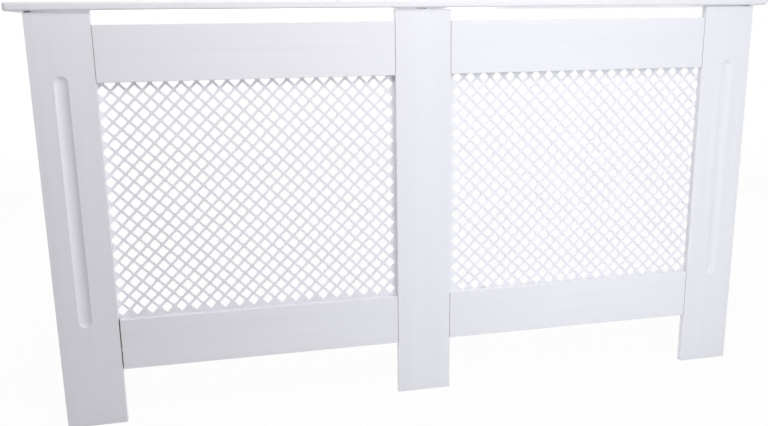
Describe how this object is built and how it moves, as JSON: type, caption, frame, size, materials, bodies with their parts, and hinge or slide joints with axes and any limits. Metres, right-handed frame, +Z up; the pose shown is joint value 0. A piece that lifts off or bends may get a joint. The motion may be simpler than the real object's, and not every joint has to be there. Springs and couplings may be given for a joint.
{
  "type": "radiator cover cabinet",
  "caption": "White flat-pack cabinet that covers a wall radiator: fluted stiles, plain rails, diagonal lattice grilles, notched side panels and an overhanging shelf.",
  "frame": {"origin": "on the floor, in the middle of the cabinet's width and depth", "axes": "+X to the right along the front as seen by someone facing it, +Y towards the wall, +Z up"},
  "size_m": [1.52, 0.165, 0.815],
  "materials": {
    "painted_board": "satin white paint on fibreboard",
    "painted_grille": "satin white paint on thin pierced fibreboard",
    "beech": "bare fluted beech",
    "plated_steel": "bright zinc plate",
    "zinc": "raw die-cast zinc"
  },
  "bodies": {
    "cabinet": {"top_shelf": "painted_board", "side_panel_left": "painted_board", "side_panel_right": "painted_board", "stile_left": "painted_board", "stile_centre": "painted_board", "stile_right": "painted_board", "top_rail_left": "painted_board", "top_rail_right": "painted_board", "bottom_rail_left": "painted_board", "bottom_rail_right": "painted_board", "grille_left": "painted_grille", "grille_right": "painted_grille", "rail_dowels": "beech", "side_dowels": "beech", "shelf_dowels": "beech", "rail_cam_bolts": "plated_steel", "side_cam_bolts": "plated_steel", "shelf_cam_bolts": "plated_steel", "grille_screws_left": "plated_steel", "grille_screws_right": "plated_steel", "centre_bracket_screws": "plated_steel", "wall_bracket_screws": "plated_steel", "centre_bracket": "plated_steel", "wall_bracket_left": "plated_steel", "wall_bracket_right": "plated_steel"},
    "cam_top_rail_left_outer": {"cam_top_rail_left_outer": "zinc"},
    "cam_top_rail_left_inner": {"cam_top_rail_left_inner": "zinc"},
    "cam_top_rail_right_outer": {"cam_top_rail_right_outer": "zinc"},
    "cam_top_rail_right_inner": {"cam_top_rail_right_inner": "zinc"},
    "cam_bottom_rail_left_outer": {"cam_bottom_rail_left_outer": "zinc"},
    "cam_bottom_rail_left_inner": {"cam_bottom_rail_left_inner": "zinc"},
    "cam_bottom_rail_right_outer": {"cam_bottom_rail_right_outer": "zinc"},
    "cam_bottom_rail_right_inner": {"cam_bottom_rail_right_inner": "zinc"},
    "cam_side_left_front_low": {"cam_side_left_front_low": "zinc"},
    "cam_side_left_front_high": {"cam_side_left_front_high": "zinc"},
    "cam_side_left_shelf_fore": {"cam_side_left_shelf_fore": "zinc"},
    "cam_side_left_shelf_aft": {"cam_side_left_shelf_aft": "zinc"},
    "cam_side_right_front_low": {"cam_side_right_front_low": "zinc"},
    "cam_side_right_front_high": {"cam_side_right_front_high": "zinc"},
    "cam_side_right_shelf_fore": {"cam_side_right_shelf_fore": "zinc"},
    "cam_side_right_shelf_aft": {"cam_side_right_shelf_aft": "zinc"}
  },
  "joints": [
    {"name": "cam_top_rail_left_outer_turn", "type": "hinge", "parent": "cabinet", "child": "cam_top_rail_left_outer", "pos_m": [-0.591, -0.0705, 0.737], "axis": [0, 1, 0], "range_deg": [0, 180]},
    {"name": "cam_top_rail_left_inner_turn", "type": "hinge", "parent": "cabinet", "child": "cam_top_rail_left_inner", "pos_m": [-0.0805, -0.0705, 0.737], "axis": [0, 1, 0], "range_deg": [0, 180]},
    {"name": "cam_top_rail_right_outer_turn", "type": "hinge", "parent": "cabinet", "child": "cam_top_rail_right_outer", "pos_m": [0.591, -0.0705, 0.737], "axis": [0, 1, 0], "range_deg": [0, 180]},
    {"name": "cam_top_rail_right_inner_turn", "type": "hinge", "parent": "cabinet", "child": "cam_top_rail_right_inner", "pos_m": [0.0805, -0.0705, 0.737], "axis": [0, 1, 0], "range_deg": [0, 180]},
    {"name": "cam_bottom_rail_left_outer_turn", "type": "hinge", "parent": "cabinet", "child": "cam_bottom_rail_left_outer", "pos_m": [-0.591, -0.0705, 0.151], "axis": [0, 1, 0], "range_deg": [0, 180]},
    {"name": "cam_bottom_rail_left_inner_turn", "type": "hinge", "parent": "cabinet", "child": "cam_bottom_rail_left_inner", "pos_m": [-0.0805, -0.0705, 0.151], "axis": [0, 1, 0], "range_deg": [0, 180]},
    {"name": "cam_bottom_rail_right_outer_turn", "type": "hinge", "parent": "cabinet", "child": "cam_bottom_rail_right_outer", "pos_m": [0.591, -0.0705, 0.151], "axis": [0, 1, 0], "range_deg": [0, 180]},
    {"name": "cam_bottom_rail_right_inner_turn", "type": "hinge", "parent": "cabinet", "child": "cam_bottom_rail_right_inner", "pos_m": [0.0805, -0.0705, 0.151], "axis": [0, 1, 0], "range_deg": [0, 180]},
    {"name": "cam_side_left_front_low_turn", "type": "hinge", "parent": "cabinet", "child": "cam_side_left_front_low", "pos_m": [-0.722, -0.0405, 0.19], "axis": [1, 0, 0], "range_deg": [0, 180]},
    {"name": "cam_side_left_front_high_turn", "type": "hinge", "parent": "cabinet", "child": "cam_side_left_front_high", "pos_m": [-0.722, -0.0405, 0.6], "axis": [1, 0, 0], "range_deg": [0, 180]},
    {"name": "cam_side_left_shelf_fore_turn", "type": "hinge", "parent": "cabinet", "child": "cam_side_left_shelf_fore", "pos_m": [-0.722, -0.0265, 0.776], "axis": [1, 0, 0], "range_deg": [0, 180]},
    {"name": "cam_side_left_shelf_aft_turn", "type": "hinge", "parent": "cabinet", "child": "cam_side_left_shelf_aft", "pos_m": [-0.722, 0.0445, 0.776], "axis": [1, 0, 0], "range_deg": [0, 180]},
    {"name": "cam_side_right_front_low_turn", "type": "hinge", "parent": "cabinet", "child": "cam_side_right_front_low", "pos_m": [0.722, -0.0405, 0.19], "axis": [-1, 0, 0], "range_deg": [0, 180]},
    {"name": "cam_side_right_front_high_turn", "type": "hinge", "parent": "cabinet", "child": "cam_side_right_front_high", "pos_m": [0.722, -0.0405, 0.6], "axis": [-1, 0, 0], "range_deg": [0, 180]},
    {"name": "cam_side_right_shelf_fore_turn", "type": "hinge", "parent": "cabinet", "child": "cam_side_right_shelf_fore", "pos_m": [0.722, -0.0265, 0.776], "axis": [-1, 0, 0], "range_deg": [0, 180]},
    {"name": "cam_side_right_shelf_aft_turn", "type": "hinge", "parent": "cabinet", "child": "cam_side_right_shelf_aft", "pos_m": [0.722, 0.0445, 0.776], "axis": [-1, 0, 0], "range_deg": [0, 180]}
  ]
}
